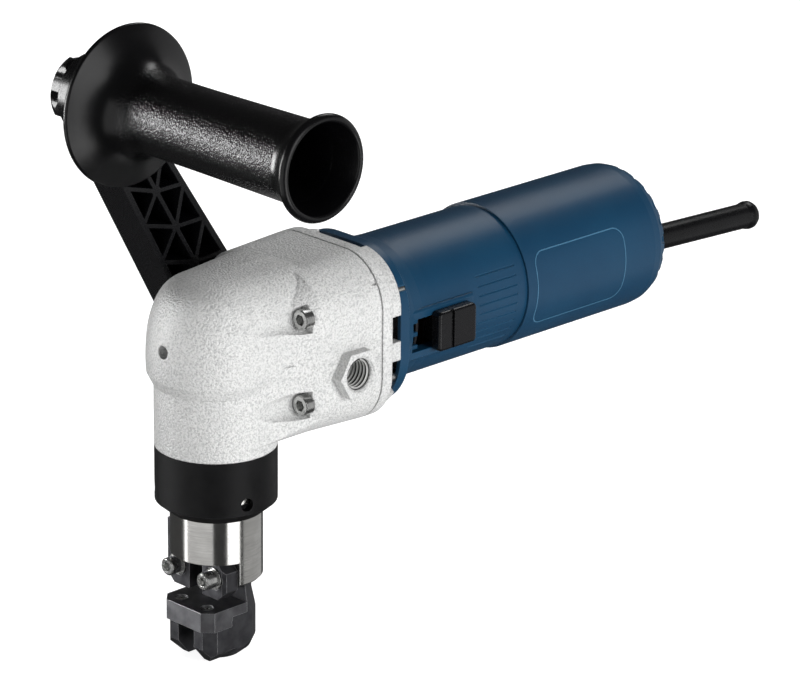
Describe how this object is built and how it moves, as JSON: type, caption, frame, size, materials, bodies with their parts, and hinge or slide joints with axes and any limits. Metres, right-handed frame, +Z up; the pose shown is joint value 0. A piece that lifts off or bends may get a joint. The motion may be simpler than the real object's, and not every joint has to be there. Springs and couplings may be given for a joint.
{
  "type": "electric nibbler",
  "caption": "Hand-held electric sheet-metal nibbler: angled gear head with swivelling punch and die, motor body with slide switch, and a bracketed side grip.",
  "frame": {"origin": "centre of the die's top cutting face, on the ram axis", "axes": "+Z up the ram axis into the gear head, +X back along the motor, +Y towards the side-grip bracket"},
  "size_m": [0.3926, 0.1594, 0.2762],
  "materials": {
    "cast_aluminium": "bead-blasted casting",
    "blue_plastic": "satin moulded",
    "black_oxide": "satin black oxide steel",
    "ground_steel": "turned and ground",
    "tool_steel": "hardened tool steel",
    "zinc_steel": "bright zinc plate",
    "gear_steel": "hobbed and hardened",
    "bearing_steel": "polished",
    "bronze": "sintered bronze",
    "black_plastic": "moulded, fine grain on the grip",
    "black_rubber": "satin",
    "laminations": "varnished stack",
    "copper": "enamelled wire",
    "carbon": "pressed carbon",
    "fan_plastic": "moulded"
  },
  "bodies": {
    "housing": {"gear_housing": "cast_aluminium", "motor_flange": "cast_aluminium", "housing_screws": "zinc_steel", "counter_bushes": "bronze", "crank_front_bearing": "bearing_steel", "crank_main_bearing": "bearing_steel", "armature_front_bearing": "bearing_steel", "armature_rear_bearing": "bearing_steel", "motor_housing": "blue_plastic", "rear_cover": "blue_plastic", "cover_screws": "zinc_steel", "stator_core": "laminations", "field_coils": "copper", "air_baffle": "fan_plastic", "shroud_ring": "black_plastic", "brush_holders": "fan_plastic", "carbon_brushes": "carbon", "brush_springs": "gear_steel", "switch_unit": "fan_plastic", "cable_sleeve": "black_rubber", "cable_clamp": "black_plastic", "clamp_screws": "zinc_steel", "handle_bracket": "black_plastic", "bracket_bolt": "black_oxide", "bracket_washer": "zinc_steel", "side_grip": "black_plastic", "grip_bolt": "zinc_steel"},
    "armature": {"armature_shaft": "gear_steel", "armature_core": "laminations", "armature_windings": "copper", "commutator": "copper", "cooling_fan": "fan_plastic"},
    "countershaft": {"counter_shaft": "gear_steel", "counter_gear": "gear_steel"},
    "crank": {"crankshaft": "gear_steel", "crank_gear": "gear_steel", "crank_circlip": "gear_steel"},
    "rod": {"connecting_rod": "tool_steel", "wrist_pin": "bearing_steel"},
    "tool_head": {"tool_carrier": "ground_steel", "guide_bush": "bronze", "die_holder": "tool_steel", "die": "tool_steel", "die_screws": "zinc_steel", "holder_screws": "zinc_steel", "holder_washers": "zinc_steel"},
    "ram": {"ram": "gear_steel", "punch": "tool_steel", "punch_screw": "gear_steel"},
    "ring": {"clamp_ring": "black_oxide"},
    "switch": {"switch_slider": "black_plastic", "switch_link": "fan_plastic"},
    "knob": {"handle_knob": "black_plastic", "knob_insert": "zinc_steel"}
  },
  "joints": [
    {"name": "armature_spin", "type": "hinge", "parent": "housing", "child": "armature", "pos_m": [0, 0, 0.109], "axis": [1, 0, 0], "continuous": true},
    {"name": "countershaft_spin", "type": "hinge", "parent": "housing", "child": "countershaft", "pos_m": [0, 0.0107, 0.09516], "axis": [1, 0, 0], "continuous": true},
    {"name": "crank_spin", "type": "hinge", "parent": "housing", "child": "crank", "pos_m": [0, 0, 0.1183], "axis": [1, 0, 0], "continuous": true},
    {"name": "rod_turn", "type": "hinge", "parent": "crank", "child": "rod", "pos_m": [0, 0, 0.1223], "axis": [1, 0, 0], "continuous": true},
    {"name": "head_swivel", "type": "hinge", "parent": "housing", "child": "tool_head", "pos_m": [0, 0, 0], "axis": [0, 0, 1], "range_deg": [-180, 180]},
    {"name": "ram_stroke", "type": "slide", "parent": "tool_head", "child": "ram", "axis": [0, 0, 1], "range_m": [-0.008, 0]},
    {"name": "ring_turn", "type": "hinge", "parent": "housing", "child": "ring", "pos_m": [0, 0, 0], "axis": [0, 0, 1], "range_deg": [0, 60]},
    {"name": "switch_slide", "type": "slide", "parent": "housing", "child": "switch", "axis": [1, 0, 0], "range_m": [-0.007, 0]},
    {"name": "knob_turn", "type": "hinge", "parent": "housing", "child": "knob", "pos_m": [-0.0165, 0, 0.2157], "axis": [0, 1, 0], "continuous": true}
  ],
  "couplings": [
    {"joint": "countershaft_spin", "follows": "armature_spin", "ratio": -0.19048},
    {"joint": "crank_spin", "follows": "armature_spin", "ratio": 0.040816},
    {"joint": "rod_turn", "follows": "armature_spin", "ratio": -0.040816}
  ]
}
